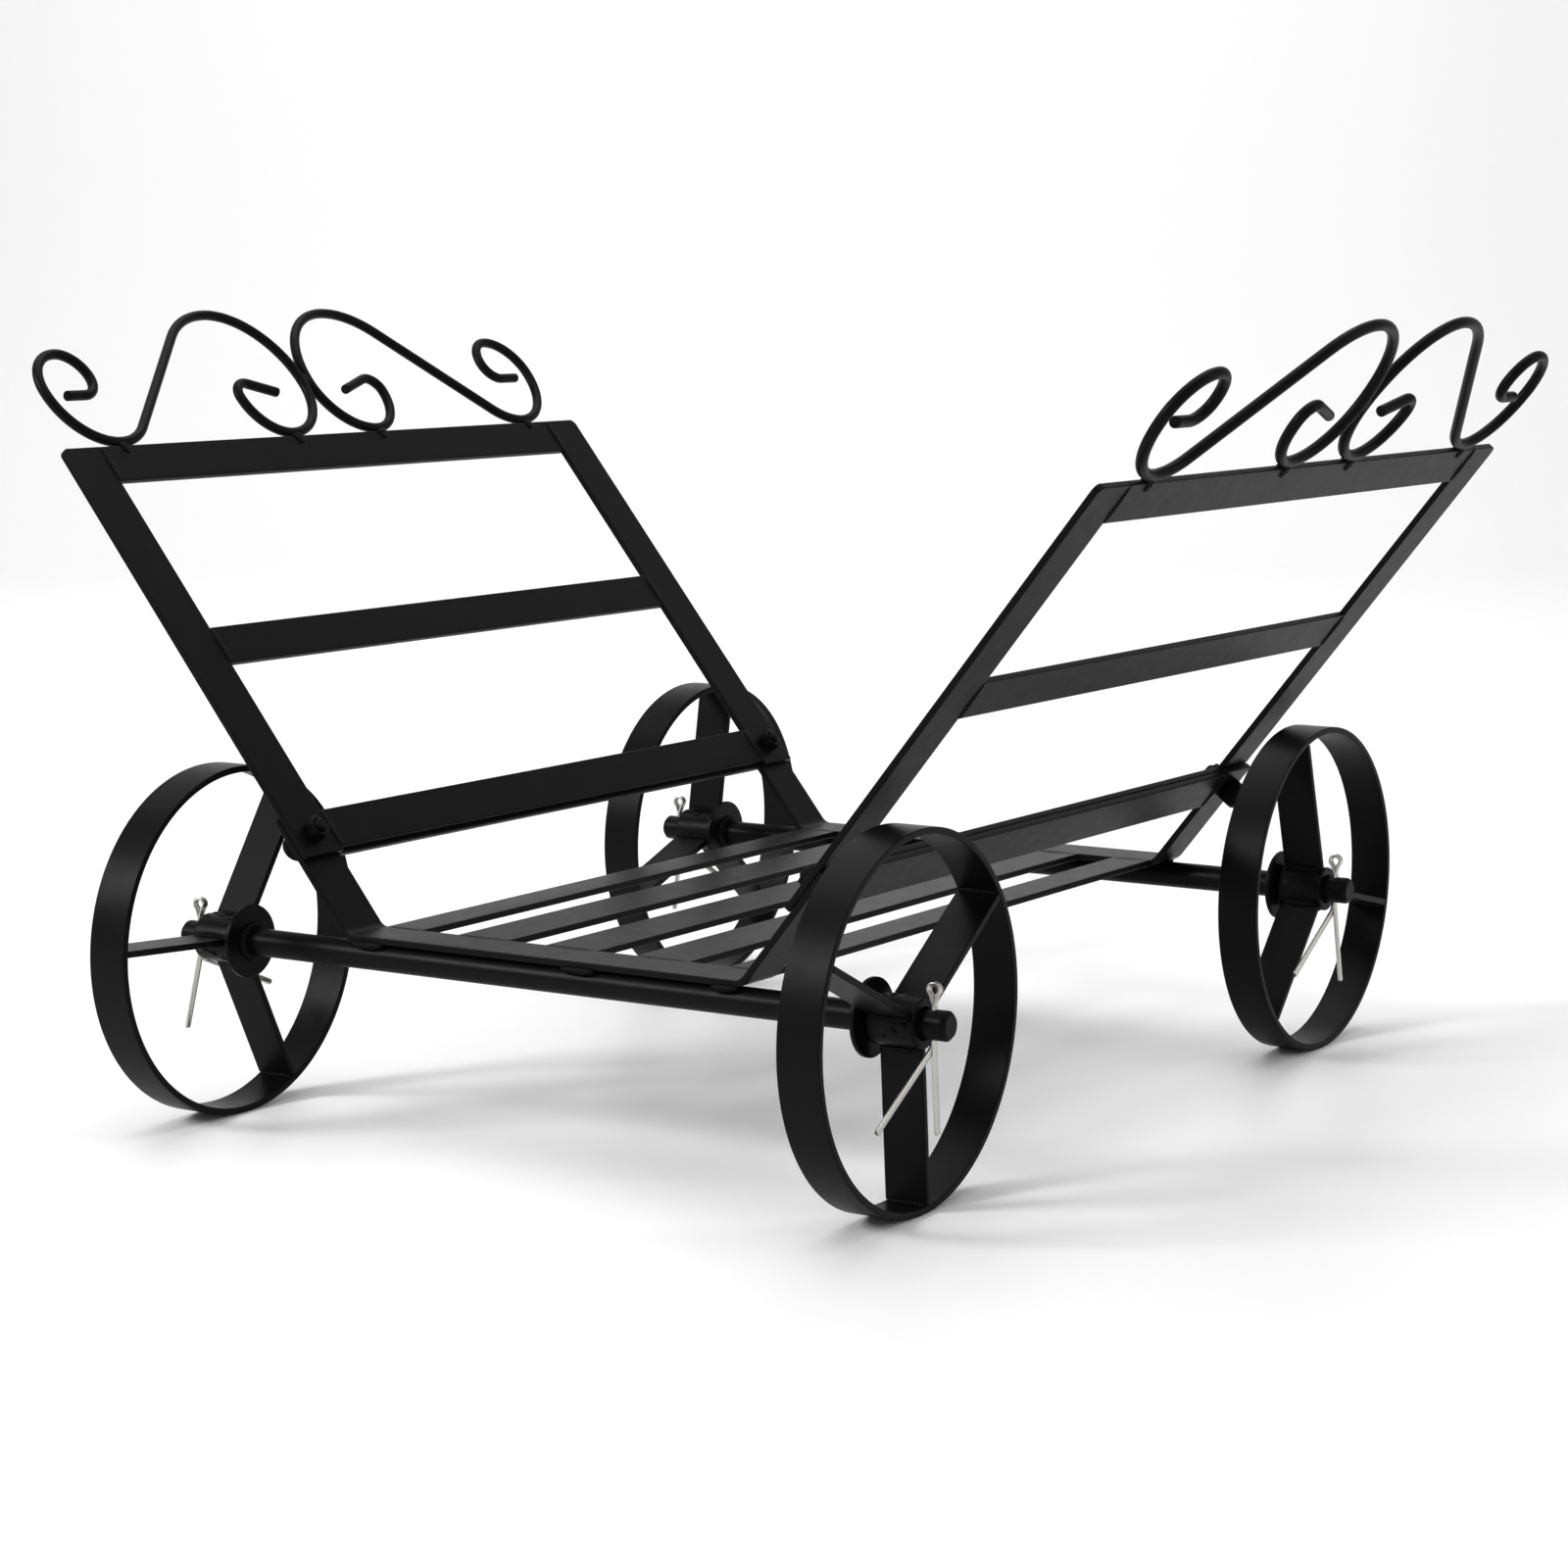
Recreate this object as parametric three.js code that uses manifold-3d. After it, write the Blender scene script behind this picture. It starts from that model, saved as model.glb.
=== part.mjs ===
// Firewood log rack on wheels. A flat-bar cradle spans two axles. Four spoked wheels turn on the axles
// between a welded washer and a split pin. Two side panels lean outward and carry scrollwork on their top
// rails. Millimetres, +Z up, X along the axles, Y along the logs, origin on the ground under the middle of
// the rack.
import * as THREE from 'three';
import { mergeVertices } from 'three/addons/utils/BufferGeometryUtils.js';
import Module from 'manifold-3d';

const wasm = await Module();
wasm.setup();

// ---------------------------------------------------------------- driving dimensions

const BAR_THICKNESS = 3;             // every flat bar
const WELD_GAP = 0.3;                // kept between pieces that are welded or bolted together

// wheels
const WHEEL_DIAMETER = 160;
const WHEEL_WIDTH = 20;
const WHEEL_TO_POST = 9.7;           // from a rim to the leaning post beside it, level with the wheel's top
const WHEEL_BASE = 395;              // front axle to rear axle
const HUB_DIAMETER = 21.3;
const HUB_LENGTH = 22;
const HUB_RUNNING_GAP = 0.5;         // radial, hub on axle
const SPOKE_COUNT = 3;

// axles, stop washers and split pins
const AXLE_DIAMETER = 12.7;
const AXLE_CHAMFER = 1.5;
const AXLE_PAST_PIN = 8;             // from the pin's middle to the axle's end
const WASHER_DIAMETER = 33.5;
const WASHER_THICKNESS = 2;
const WASHER_TO_HUB = 2;
const HUB_TO_PIN = 2.4;
const PIN_DIAMETER = 3.6;            // both half-round legs together
const PIN_HOLE_CLEARANCE = 0.5;      // radial
const PIN_EYE_RADIUS = 4.8;          // outside of the eye
const PIN_NECK = 5;                  // from the axle up to the eye's round part
const PIN_LEG_BELOW_AXLE = 39;
const PIN_BENT_LEG = 54;
const PIN_BEND_RADIUS = 5;

// cradle
const CRADLE_FLAT = 207.4;           // top face between the corners of the two bends
const CRADLE_BAR_WIDTH = 26;
const CRADLE_BAR_INSET = 7.5;        // a bar's middle stands this far inboard of its axle
const CRADLE_BEND_RADIUS = 6;
const UPTURN = 63;                   // up the slope from the bend's corner
const SLAT_COUNT = 3;
const SLAT_WIDTH = 28;
const EDGE_SLAT_WIDTH = 20;
const EDGE_SLAT_INSET = 1.7;         // from the bend's corner

// side panels, measured up the slope
const LEAN = 38.5;                   // degrees out from upright
const POST_WIDTH = 26;
const POST_LENGTH = 228;
const POST_CORNER_RADIUS = 4;
const PANEL_OVERLAP = 23.5;          // how far a post runs down past the top of the upturned bar
const RAIL_WIDTH = 20;
const MIDDLE_RAIL_HEIGHT = 104;      // from the post's foot to the rail's lower edge
const FOOT_RAIL_HEIGHT = 2;
const CRADLE_RAIL_WIDTH = 22;

// corner bolts
const BOLT_DIAMETER = 6;
const BOLT_HOLE_CLEARANCE = 0.3;     // radial
const BOLT_ABOVE_POST_FOOT = 11.8;
const KNOB_DIAMETER = 12.8;
const KNOB_HEIGHT = 10.5;
const KNOB_ROUNDING = 3;             // of the rim of its outer end
const NUT_ACROSS_FLATS = 10;
const NUT_THICKNESS = 5;
const BOLT_PAST_NUT = 2;

// scrollwork: the rod's centre line as straights and tangent arcs, from the outer curl's tip to the inner
// one's. A positive turn curls up and outward, a negative turn curls down and back.
const ROD_DIAMETER = 5;
const SCROLL_CLIMB = 41.9;           // degrees, the long straight between the curls
const SCROLL_BENDS = [
  { straight: 12.6 },
  { radius: 10, turn: 90 },
  { radius: 14.3, turn: 90 },
  { radius: 21.4, turn: 90 },
  { radius: 30.7, turn: 90 + SCROLL_CLIMB },
  { straight: 79.5 },
  { radius: 50.4, turn: -SCROLL_CLIMB },
  { radius: 43.2, turn: -90 },
  { radius: 30.7, turn: -90 },
  { radius: 23, turn: -90 },
  { radius: 8.2, turn: -107.8 },
  { straight: 19.6 },
];

// facets
const RIM_FACETS = 64;
const ROUND_FACETS = 24;
const SMALL_FACETS = 16;
const ROD_FACETS = 8;
const BEND_STEP = 15;                // degrees turned per step along a bent rod

// ---------------------------------------------------------------- values worked out from them

const radians = THREE.MathUtils.degToRad;
const lean = radians(LEAN);

const wheelRadius = WHEEL_DIAMETER / 2;
const axleHeight = wheelRadius;
const axleRadius = AXLE_DIAMETER / 2;
const axleY = WHEEL_BASE / 2;

const cradleUnderside = axleHeight + axleRadius + WELD_GAP;
const cradleTop = cradleUnderside + BAR_THICKNESS;
const cornerX = CRADLE_FLAT / 2;
const postX = cornerX + (WHEEL_DIAMETER - cradleTop) * Math.tan(lean) - WELD_GAP / Math.cos(lean);
const wheelX = postX + WHEEL_TO_POST + WHEEL_WIDTH / 2;
const washerX = wheelX - HUB_LENGTH / 2 - WASHER_TO_HUB - WASHER_THICKNESS / 2;
const pinX = wheelX + HUB_LENGTH / 2 + HUB_TO_PIN + PIN_DIAMETER / 2;
const axleHalf = pinX + AXLE_PAST_PIN;
const barY = axleY - CRADLE_BAR_INSET;
const slatHalf = barY - CRADLE_BAR_WIDTH / 2 - WELD_GAP;

// Across the panels, 0 is the inner face of the upturned bars and the posts stand just inside it.
const postInside = -WELD_GAP - BAR_THICKNESS;
const postFoot = UPTURN - PANEL_OVERLAP;
const postTop = postFoot + POST_LENGTH;
const railHalf = barY - Math.max(POST_WIDTH, CRADLE_BAR_WIDTH) / 2 - WELD_GAP;
const boltHeight = postFoot + BOLT_ABOVE_POST_FOOT;
const boltHoleRadius = BOLT_DIAMETER / 2 + BOLT_HOLE_CLEARANCE;

const sides = [{ name: 'left', sign: -1 }, { name: 'right', sign: 1 }];
const ends = [{ name: 'front', sign: -1 }, { name: 'rear', sign: 1 }];

// ---------------------------------------------------------------- materials

const blackCoat = new THREE.MeshStandardMaterial({ color: 0x1d1d1e, roughness: 0.5, metalness: 0.1 });
const zincPlate = new THREE.MeshStandardMaterial({ color: 0xb8b6b0, roughness: 0.35, metalness: 0.9 });

// ---------------------------------------------------------------- building blocks

function piece(name, geometry, material = blackCoat) {
  const mesh = new THREE.Mesh(geometry, material.clone());
  mesh.name = name;
  return mesh;
}

function toSolid(geometry) {
  const bare = geometry.clone();
  bare.deleteAttribute('normal');
  bare.deleteAttribute('uv');
  const merged = mergeVertices(bare, 1e-4);
  const corners = [];
  const index = merged.index.array;
  for (let k = 0; k < index.length; k += 3) {
    const [a, b, c] = [index[k], index[k + 1], index[k + 2]];
    if (a !== b && b !== c && c !== a) corners.push(a, b, c);
  }
  const vertProperties = new Float32Array(merged.attributes.position.array);
  return new wasm.Manifold(new wasm.Mesh({ numProp: 3, vertProperties, triVerts: new Uint32Array(corners) }));
}

function fromSolid(solid) {
  const mesh = solid.getMesh();
  const geometry = new THREE.BufferGeometry();
  geometry.setAttribute('position', new THREE.BufferAttribute(new Float32Array(mesh.vertProperties), 3));
  geometry.setIndex(new THREE.BufferAttribute(new Uint32Array(mesh.triVerts), 1));
  geometry.computeVertexNormals();
  return geometry;
}

function withHoles(body, holes) {
  const solid = holes.reduce((left, hole) => left.subtract(toSolid(hole)), toSolid(body));
  return fromSolid(solid);
}

function joined(first, second) {
  return fromSolid(toSolid(first).add(toSolid(second)));
}

function boxBetween([x0, x1], [y0, y1], [z0, z1]) {
  const box = new THREE.BoxGeometry(x1 - x0, y1 - y0, z1 - z0);
  return box.translate((x0 + x1) / 2, (y0 + y1) / 2, (z0 + z1) / 2);
}

// A radius whose polygon touches the wanted circle with its flats.
function outside(radius, facets) {
  return radius / Math.cos(Math.PI / facets);
}

// Turns a profile of [radius, x] pairs about the X axis, with a facet straight below the axis.
function turnedAboutX(profile, facets) {
  const points = profile.map(([radius, x]) => new THREE.Vector2(outside(radius, facets), x));
  return new THREE.LatheGeometry(points, facets, Math.PI / facets).rotateZ(-Math.PI / 2);
}

// A ring about X, centred on the origin.
function ring(outer, inner, width, facets) {
  const half = width / 2;
  return turnedAboutX([[inner, -half], [outer, -half], [outer, half], [inner, half], [inner, -half]], facets);
}

// A path stepped from point to point.
class Route extends THREE.Curve {
  constructor(points) {
    super();
    this.points = points;
  }

  getPoint(t, target = new THREE.Vector3()) {
    const last = this.points.length - 1;
    const k = Math.min(Math.floor(t * last + 1e-9), last - 1);
    return target.lerpVectors(this.points[k], this.points[k + 1], t * last - k);
  }

  getUtoTmapping(u) {
    return u;
  }
}

function sweep(section, points) {
  return new THREE.ExtrudeGeometry(new THREE.Shape(section), {
    steps: points.length - 1,
    extrudePath: new Route(points),
    bevelEnabled: false,
  });
}

function roundSection(radius, facets) {
  const corner = outside(radius, facets);
  return Array.from({ length: facets }, (_, k) => {
    const angle = (2 * Math.PI * (k + 0.5)) / facets;
    return new THREE.Vector2(corner * Math.cos(angle), corner * Math.sin(angle));
  });
}

// Points along straights and tangent arcs in a plane, from the origin heading along +x.
function bentLine(bends) {
  const points = [new THREE.Vector2(0, 0)];
  let heading = 0;
  for (const { straight, radius, turn } of bends) {
    if (straight) {
      const step = new THREE.Vector2(straight, 0).rotateAround(new THREE.Vector2(), heading);
      points.push(points.at(-1).clone().add(step));
      continue;
    }
    const steps = Math.ceil(Math.abs(turn) / BEND_STEP);
    const step = radians(turn) / steps;
    const chord = 2 * radius * Math.sin(Math.abs(step) / 2);
    for (let k = 0; k < steps; k++) {
      const toNext = new THREE.Vector2(chord, 0).rotateAround(new THREE.Vector2(), heading + step / 2);
      points.push(points.at(-1).clone().add(toNext));
      heading += step;
    }
  }
  return points;
}

// ---------------------------------------------------------------- axles, stop washers and split pins

function axle() {
  const rod = turnedAboutX([
    [0, -axleHalf],
    [axleRadius - AXLE_CHAMFER, -axleHalf],
    [axleRadius, AXLE_CHAMFER - axleHalf],
    [axleRadius, axleHalf - AXLE_CHAMFER],
    [axleRadius - AXLE_CHAMFER, axleHalf],
    [0, axleHalf],
  ], ROUND_FACETS);
  const holeRadius = PIN_DIAMETER / 2 + PIN_HOLE_CLEARANCE;
  const holes = sides.map(({ sign }) => {
    const hole = new THREE.CylinderGeometry(holeRadius, holeRadius, 2 * AXLE_DIAMETER, SMALL_FACETS);
    return hole.rotateX(Math.PI / 2).translate(sign * pinX, 0, 0);
  });
  return withHoles(rod, holes);
}

// Half-round wire folded at an eye above the axle. The outboard (+X) leg hangs down, splayed outward, and the
// inboard leg is bent towards -Y below the axle, flat against the other, so that it stays clear of the wheel.
function splitPin({ splay: splayAngle, bend: bendAngle }) {
  const wire = PIN_DIAMETER / 2 - WELD_GAP / 2;
  const legX = WELD_GAP / 2;
  const points = [];
  const splay = radians(splayAngle);
  points.push(new THREE.Vector3(
    legX + PIN_LEG_BELOW_AXLE * Math.sin(splay),
    0,
    -axleRadius - PIN_LEG_BELOW_AXLE * Math.cos(splay),
  ));
  points.push(new THREE.Vector3(legX, 0, -axleRadius));
  points.push(new THREE.Vector3(legX, 0, axleRadius + 1));
  const eye = PIN_EYE_RADIUS - wire;
  const eyeHeight = axleRadius + PIN_NECK + eye;
  const opening = radians(40);                     // half the eye's open arc above the neck
  const eyeSteps = 12;
  for (let k = 0; k <= eyeSteps; k++) {
    const angle = -Math.PI / 2 + opening + ((2 * Math.PI - 2 * opening) * k) / eyeSteps;
    points.push(new THREE.Vector3(eye * Math.cos(angle), 0, eyeHeight + eye * Math.sin(angle)));
  }
  points.push(new THREE.Vector3(-legX, 0, axleRadius + 1));
  const bendStart = -axleRadius - 0.5;
  const bendSteps = 5;
  const bend = radians(bendAngle);
  for (let k = 0; k <= bendSteps; k++) {
    const angle = (bend * k) / bendSteps;
    points.push(new THREE.Vector3(
      -legX,
      -PIN_BEND_RADIUS * (1 - Math.cos(angle)),
      bendStart - PIN_BEND_RADIUS * Math.sin(angle),
    ));
  }
  const along = new THREE.Vector3(0, -Math.sin(bend), -Math.cos(bend));
  points.push(points.at(-1).clone().addScaledVector(along, PIN_BENT_LEG - PIN_BEND_RADIUS * bend));
  const section = Array.from({ length: 6 }, (_, k) => {
    const angle = (Math.PI * k) / 5;
    return new THREE.Vector2(wire * Math.cos(angle), wire * Math.sin(angle));
  });
  return sweep(section, points);
}

const rack = new THREE.Group();

for (const end of ends) {
  const rod = piece(`axle_${end.name}`, axle());
  rod.position.set(0, end.sign * axleY, axleHeight);
  rack.add(rod);
}

// ---------------------------------------------------------------- wheels and what keeps them on

// How each split pin was opened by hand, in degrees from straight down: its straight leg splayed outboard and
// its other leg bent towards the front.
const PIN_OPENING = {
  front_left: { splay: 14, bend: 68 },
  front_right: { splay: 3, bend: 59 },
  rear_left: { splay: 6, bend: 60 },
  rear_right: { splay: 6, bend: 60 },
};

// Each wheel's first spoke, in degrees turned about +X from pointing at the rear.
const FIRST_SPOKE = { front_left: 56.3, front_right: 34.3, rear_left: 80, rear_right: 107 };

for (const end of ends) {
  for (const side of sides) {
    const corner = `${end.name}_${side.name}`;
    const wheel = new THREE.Group();
    wheel.position.set(side.sign * wheelX, end.sign * axleY, axleHeight);
    const rimInside = wheelRadius - BAR_THICKNESS;
    wheel.add(piece(`rim_${corner}`, ring(wheelRadius, rimInside, WHEEL_WIDTH, RIM_FACETS)));
    const hubRadius = HUB_DIAMETER / 2;
    const hubBore = axleRadius + HUB_RUNNING_GAP;
    wheel.add(piece(`hub_${corner}`, ring(hubRadius, hubBore, HUB_LENGTH, ROUND_FACETS)));
    const spokeFrom = outside(hubRadius, ROUND_FACETS) + WELD_GAP;
    const spokeTo = Math.sqrt(rimInside ** 2 - (BAR_THICKNESS / 2) ** 2) - WELD_GAP;
    for (let k = 0; k < SPOKE_COUNT; k++) {
      const spoke = piece(`spoke_${corner}_${k + 1}`, boxBetween(
        [-WHEEL_WIDTH / 2, WHEEL_WIDTH / 2],
        [spokeFrom, spokeTo],
        [-BAR_THICKNESS / 2, BAR_THICKNESS / 2],
      ));
      spoke.rotation.x = radians(FIRST_SPOKE[corner] + (360 * k) / SPOKE_COUNT);
      wheel.add(spoke);
    }
    rack.add(wheel);

    const washerBore = axleRadius + WELD_GAP;
    const washerRing = ring(WASHER_DIAMETER / 2, washerBore, WASHER_THICKNESS, ROUND_FACETS);
    const washer = piece(`washer_${corner}`, washerRing);
    washer.position.set(side.sign * washerX, end.sign * axleY, axleHeight);
    rack.add(washer);

    const pin = piece(`split_pin_${corner}`, splitPin(PIN_OPENING[corner]), zincPlate);
    pin.position.set(side.sign * pinX, end.sign * axleY, axleHeight);
    pin.rotation.z = side.sign > 0 ? 0 : Math.PI;
    rack.add(pin);
  }
}

// ---------------------------------------------------------------- cradle

// A group standing on the cradle's top face at the bend: x points out of the rack on the right and into it
// on the left, z runs up the slope.
function slope(side) {
  const group = new THREE.Group();
  group.position.set(side.sign * cornerX, 0, cradleTop);
  group.rotation.y = side.sign * lean;
  group.updateMatrixWorld();
  return group;
}

// A flat middle with both ends bent up and out, extruded along Y.
function cradleBar() {
  const turn = Math.PI / 2 - lean;
  const bendX = cornerX - CRADLE_BEND_RADIUS * Math.tan(turn / 2);
  const bendZ = cradleTop + CRADLE_BEND_RADIUS;
  const outerRadius = CRADLE_BEND_RADIUS + BAR_THICKNESS;
  const tip = [cornerX + UPTURN * Math.sin(lean), cradleTop + UPTURN * Math.cos(lean)];
  const tipOut = [tip[0] + BAR_THICKNESS * Math.cos(lean), tip[1] - BAR_THICKNESS * Math.sin(lean)];
  const down = -Math.PI / 2;
  const profile = new THREE.Shape();
  profile.moveTo(-bendX, cradleUnderside);
  profile.lineTo(bendX, cradleUnderside);
  profile.absarc(bendX, bendZ, outerRadius, down, down + turn, false);
  profile.lineTo(...tipOut);
  profile.lineTo(...tip);
  profile.absarc(bendX, bendZ, CRADLE_BEND_RADIUS, down + turn, down, true);
  profile.lineTo(-bendX, cradleTop);
  profile.absarc(-bendX, bendZ, CRADLE_BEND_RADIUS, down, down - turn, true);
  profile.lineTo(-tip[0], tip[1]);
  profile.lineTo(-tipOut[0], tipOut[1]);
  profile.absarc(-bendX, bendZ, outerRadius, down - turn, down, false);
  const bar = new THREE.ExtrudeGeometry(profile, {
    depth: CRADLE_BAR_WIDTH,
    bevelEnabled: false,
    curveSegments: 6,
  });
  bar.rotateX(Math.PI / 2).translate(0, CRADLE_BAR_WIDTH / 2, 0);
  const holes = sides.map((side) => {
    const hole = new THREE.CylinderGeometry(boltHoleRadius, boltHoleRadius, 6 * BAR_THICKNESS, SMALL_FACETS);
    return hole.rotateZ(Math.PI / 2).translate(0, 0, boltHeight).applyMatrix4(slope(side).matrixWorld);
  });
  return withHoles(bar, holes);
}

for (const end of ends) {
  const bar = piece(`cradle_bar_${end.name}`, cradleBar());
  bar.position.y = end.sign * barY;
  rack.add(bar);
}

function slat(name, x, width) {
  const across = [x - width / 2, x + width / 2];
  rack.add(piece(name, boxBetween(across, [-slatHalf, slatHalf], [cradleUnderside, cradleTop])));
}

const edgeSlatX = cornerX - EDGE_SLAT_INSET - EDGE_SLAT_WIDTH / 2;
const slatRoom = 2 * (edgeSlatX - EDGE_SLAT_WIDTH / 2);
const slatPitch = (slatRoom - SLAT_COUNT * SLAT_WIDTH) / (SLAT_COUNT + 1) + SLAT_WIDTH;
for (let k = 0; k < SLAT_COUNT; k++) {
  slat(`slat_${k + 1}`, (k - (SLAT_COUNT - 1) / 2) * slatPitch, SLAT_WIDTH);
}
for (const side of sides) {
  slat(`edge_slat_${side.name}`, side.sign * edgeSlatX, EDGE_SLAT_WIDTH);
}

// ---------------------------------------------------------------- side panels

// A post in the panel's plane, its outer top corner rounded on the outerSide of y.
function post(outerSide) {
  const half = POST_WIDTH / 2;
  const blank = boxBetween(
    [postInside, postInside + BAR_THICKNESS],
    [-half, half],
    [postFoot, postTop],
  );
  const hole = new THREE.CylinderGeometry(boltHoleRadius, boltHoleRadius, 6 * BAR_THICKNESS, SMALL_FACETS);
  hole.rotateZ(Math.PI / 2).translate(postInside, 0, boltHeight);
  const r = POST_CORNER_RADIUS;
  const corner = new THREE.Shape();
  corner.moveTo(r, 0);
  corner.absarc(0, 0, r, 0, Math.PI / 2, false);
  corner.lineTo(0, 2 * r);
  corner.lineTo(2 * r, 2 * r);
  corner.lineTo(2 * r, 0);
  const waste = new THREE.ExtrudeGeometry(corner, {
    depth: 3 * BAR_THICKNESS,
    bevelEnabled: false,
    curveSegments: 5,
  });
  waste.applyMatrix4(new THREE.Matrix4().makeBasis(
    new THREE.Vector3(0, outerSide, 0),
    new THREE.Vector3(0, 0, 1),
    new THREE.Vector3(outerSide, 0, 0),
  ));
  waste.translate(postInside - outerSide * BAR_THICKNESS, outerSide * (half - r), postTop - r);
  return withHoles(blank, [hole, waste]);
}

// A bolt with a tall round knob of a head, through bar and post, its hexagon nut run on inside, x out of the
// rack.
function boltWithNut() {
  const headSeat = BAR_THICKNESS + WELD_GAP;
  const nutSeat = postInside - WELD_GAP;
  const knobRadius = KNOB_DIAMETER / 2;
  const knobEnd = headSeat + KNOB_HEIGHT;
  const shank = BOLT_DIAMETER / 2;
  const shankEnd = nutSeat - NUT_THICKNESS - BOLT_PAST_NUT;
  const rimSteps = 4;
  const rim = Array.from({ length: rimSteps + 1 }, (_, k) => {
    const angle = (Math.PI / 2) * (k / rimSteps);
    return [
      knobRadius - KNOB_ROUNDING * (1 - Math.cos(angle)),
      knobEnd - KNOB_ROUNDING * (1 - Math.sin(angle)),
    ];
  });
  const profile = [[0, shankEnd], [shank, shankEnd], [shank, headSeat], [knobRadius, headSeat], ...rim];
  profile.push([0, knobEnd]);
  const bolt = turnedAboutX(profile, SMALL_FACETS);
  const corner = NUT_ACROSS_FLATS / Math.sqrt(3);
  const nut = new THREE.CylinderGeometry(corner, corner, NUT_THICKNESS, 6);
  nut.rotateZ(Math.PI / 2).translate(nutSeat - NUT_THICKNESS / 2, 0, 0);
  return joined(bolt, nut).translate(0, 0, boltHeight);
}

// The scroll's centre line rests on the top rail and its inner curl stops at the panel's middle.
function scroll(side, end) {
  const line = bentLine(SCROLL_BENDS);
  const reach = Math.max(...line.map(({ x }) => x));
  const lowest = Math.min(...line.map(({ y }) => y));
  const radius = ROD_DIAMETER / 2;
  const points = line.map(({ x, y }) => new THREE.Vector3(
    side.sign * (postInside + BAR_THICKNESS / 2),
    end.sign * (reach - x + radius + WELD_GAP / 2),
    postTop + WELD_GAP + radius + y - lowest,
  ));
  return sweep(roundSection(radius, ROD_FACETS), points);
}

for (const side of sides) {
  const panel = slope(side);
  const rail = (name, foot, width, inside) => {
    const across = [side.sign * inside, side.sign * (inside + BAR_THICKNESS)].sort((a, b) => a - b);
    panel.add(piece(`${name}_${side.name}`, boxBetween(across, [-railHalf, railHalf], [foot, foot + width])));
  };
  rail('top_rail', postTop - RAIL_WIDTH, RAIL_WIDTH, postInside);
  rail('middle_rail', postFoot + MIDDLE_RAIL_HEIGHT, RAIL_WIDTH, postInside);
  rail('foot_rail', postFoot + FOOT_RAIL_HEIGHT, RAIL_WIDTH, postInside);
  rail('cradle_rail', postFoot, CRADLE_RAIL_WIDTH, 0);
  for (const end of ends) {
    const corner = `${end.name}_${side.name}`;
    const upright = new THREE.Group();
    upright.position.y = end.sign * barY;
    upright.rotation.z = side.sign > 0 ? 0 : Math.PI;
    upright.add(piece(`post_${corner}`, post(end.sign * side.sign)));
    upright.add(piece(`bolt_${corner}`, boltWithNut()));
    panel.add(upright);
    panel.add(piece(`scroll_${corner}`, scroll(side, end)));
  }
  rack.add(panel);
}

export default rack;
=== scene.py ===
"""Firewood log rack on spoked wheels: what it looks like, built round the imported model.

Every piece is in the row frame in metres: X along the axles, Y along the logs, Z up, origin on the ground.
"""

import bpy
import numpy as np
from bpy.props import FloatProperty, FloatVectorProperty, IntProperty, PointerProperty
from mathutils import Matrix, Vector


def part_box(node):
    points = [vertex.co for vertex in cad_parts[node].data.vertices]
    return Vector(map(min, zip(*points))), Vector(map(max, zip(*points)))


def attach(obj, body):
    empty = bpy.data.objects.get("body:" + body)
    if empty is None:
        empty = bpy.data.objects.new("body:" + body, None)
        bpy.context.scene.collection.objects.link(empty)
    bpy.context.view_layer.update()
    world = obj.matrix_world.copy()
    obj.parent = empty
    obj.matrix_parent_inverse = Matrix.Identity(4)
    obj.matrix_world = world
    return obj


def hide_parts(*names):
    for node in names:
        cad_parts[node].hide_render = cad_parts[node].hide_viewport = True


bl_info = {
    "name": "Firewood Log Rack",
    "version": (1, 0, 0),
    "blender": (4, 5, 0),
    "location": "3D View > Sidebar > Log Rack",
    "description": "Builds a wheeled steel log rack round its packed solids",
    "category": "Add Mesh",
}

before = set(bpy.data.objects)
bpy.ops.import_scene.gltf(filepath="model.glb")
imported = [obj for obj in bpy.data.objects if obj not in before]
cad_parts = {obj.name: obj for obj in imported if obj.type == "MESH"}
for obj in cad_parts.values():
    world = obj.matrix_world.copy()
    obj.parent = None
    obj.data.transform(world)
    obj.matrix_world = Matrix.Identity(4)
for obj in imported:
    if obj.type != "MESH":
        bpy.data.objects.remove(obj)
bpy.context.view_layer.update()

MM = 0.001
X, Y, Z = np.eye(3)
ENDS = {"front": -1, "rear": 1}
SIDES = {"left": -1, "right": 1}
CORNERS = [(f"{end}_{side}", ENDS[end], SIDES[side]) for end in ENDS for side in SIDES]

# Stock and bends that the boxes of the solids don't give.
LEAN = np.radians(38.5)               # side panels, out from upright
BAR = 3 * MM                          # flat bar thickness
WELD_GAP = 0.3 * MM
CRADLE_BEND_RADIUS = 6 * MM           # inside of the bend
POST_LENGTH = 228 * MM
POST_CORNER_RADIUS = 4 * MM
RAIL_WIDTH = 20 * MM
CRADLE_RAIL_WIDTH = 22 * MM
BOLT_ABOVE_POST_FOOT = 11.8 * MM
PIN_SPLAY = {"front_left": 14, "front_right": 3, "rear_left": 6, "rear_right": 6}
PIN_BEND = {"front_left": 68, "front_right": 59, "rear_left": 60, "rear_right": 60}
AXLE_WELDS = [(-101, -84), (13, 30), (90, 103)]   # first and last x of each cradle bar to axle weld
WASHER_WELD_LEG = 2.6 * MM
HUB_LUMP = np.array([3.2, 2.0, 0.9]) * MM         # half sizes of the first weld lump beside a spoke's root
HUB_LUMPS = 3
FIRST_SPOKE = {"front_left": 56.3, "front_right": 34.3, "rear_left": 80.0, "rear_right": 107.0}
SPOKES = 3

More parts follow.
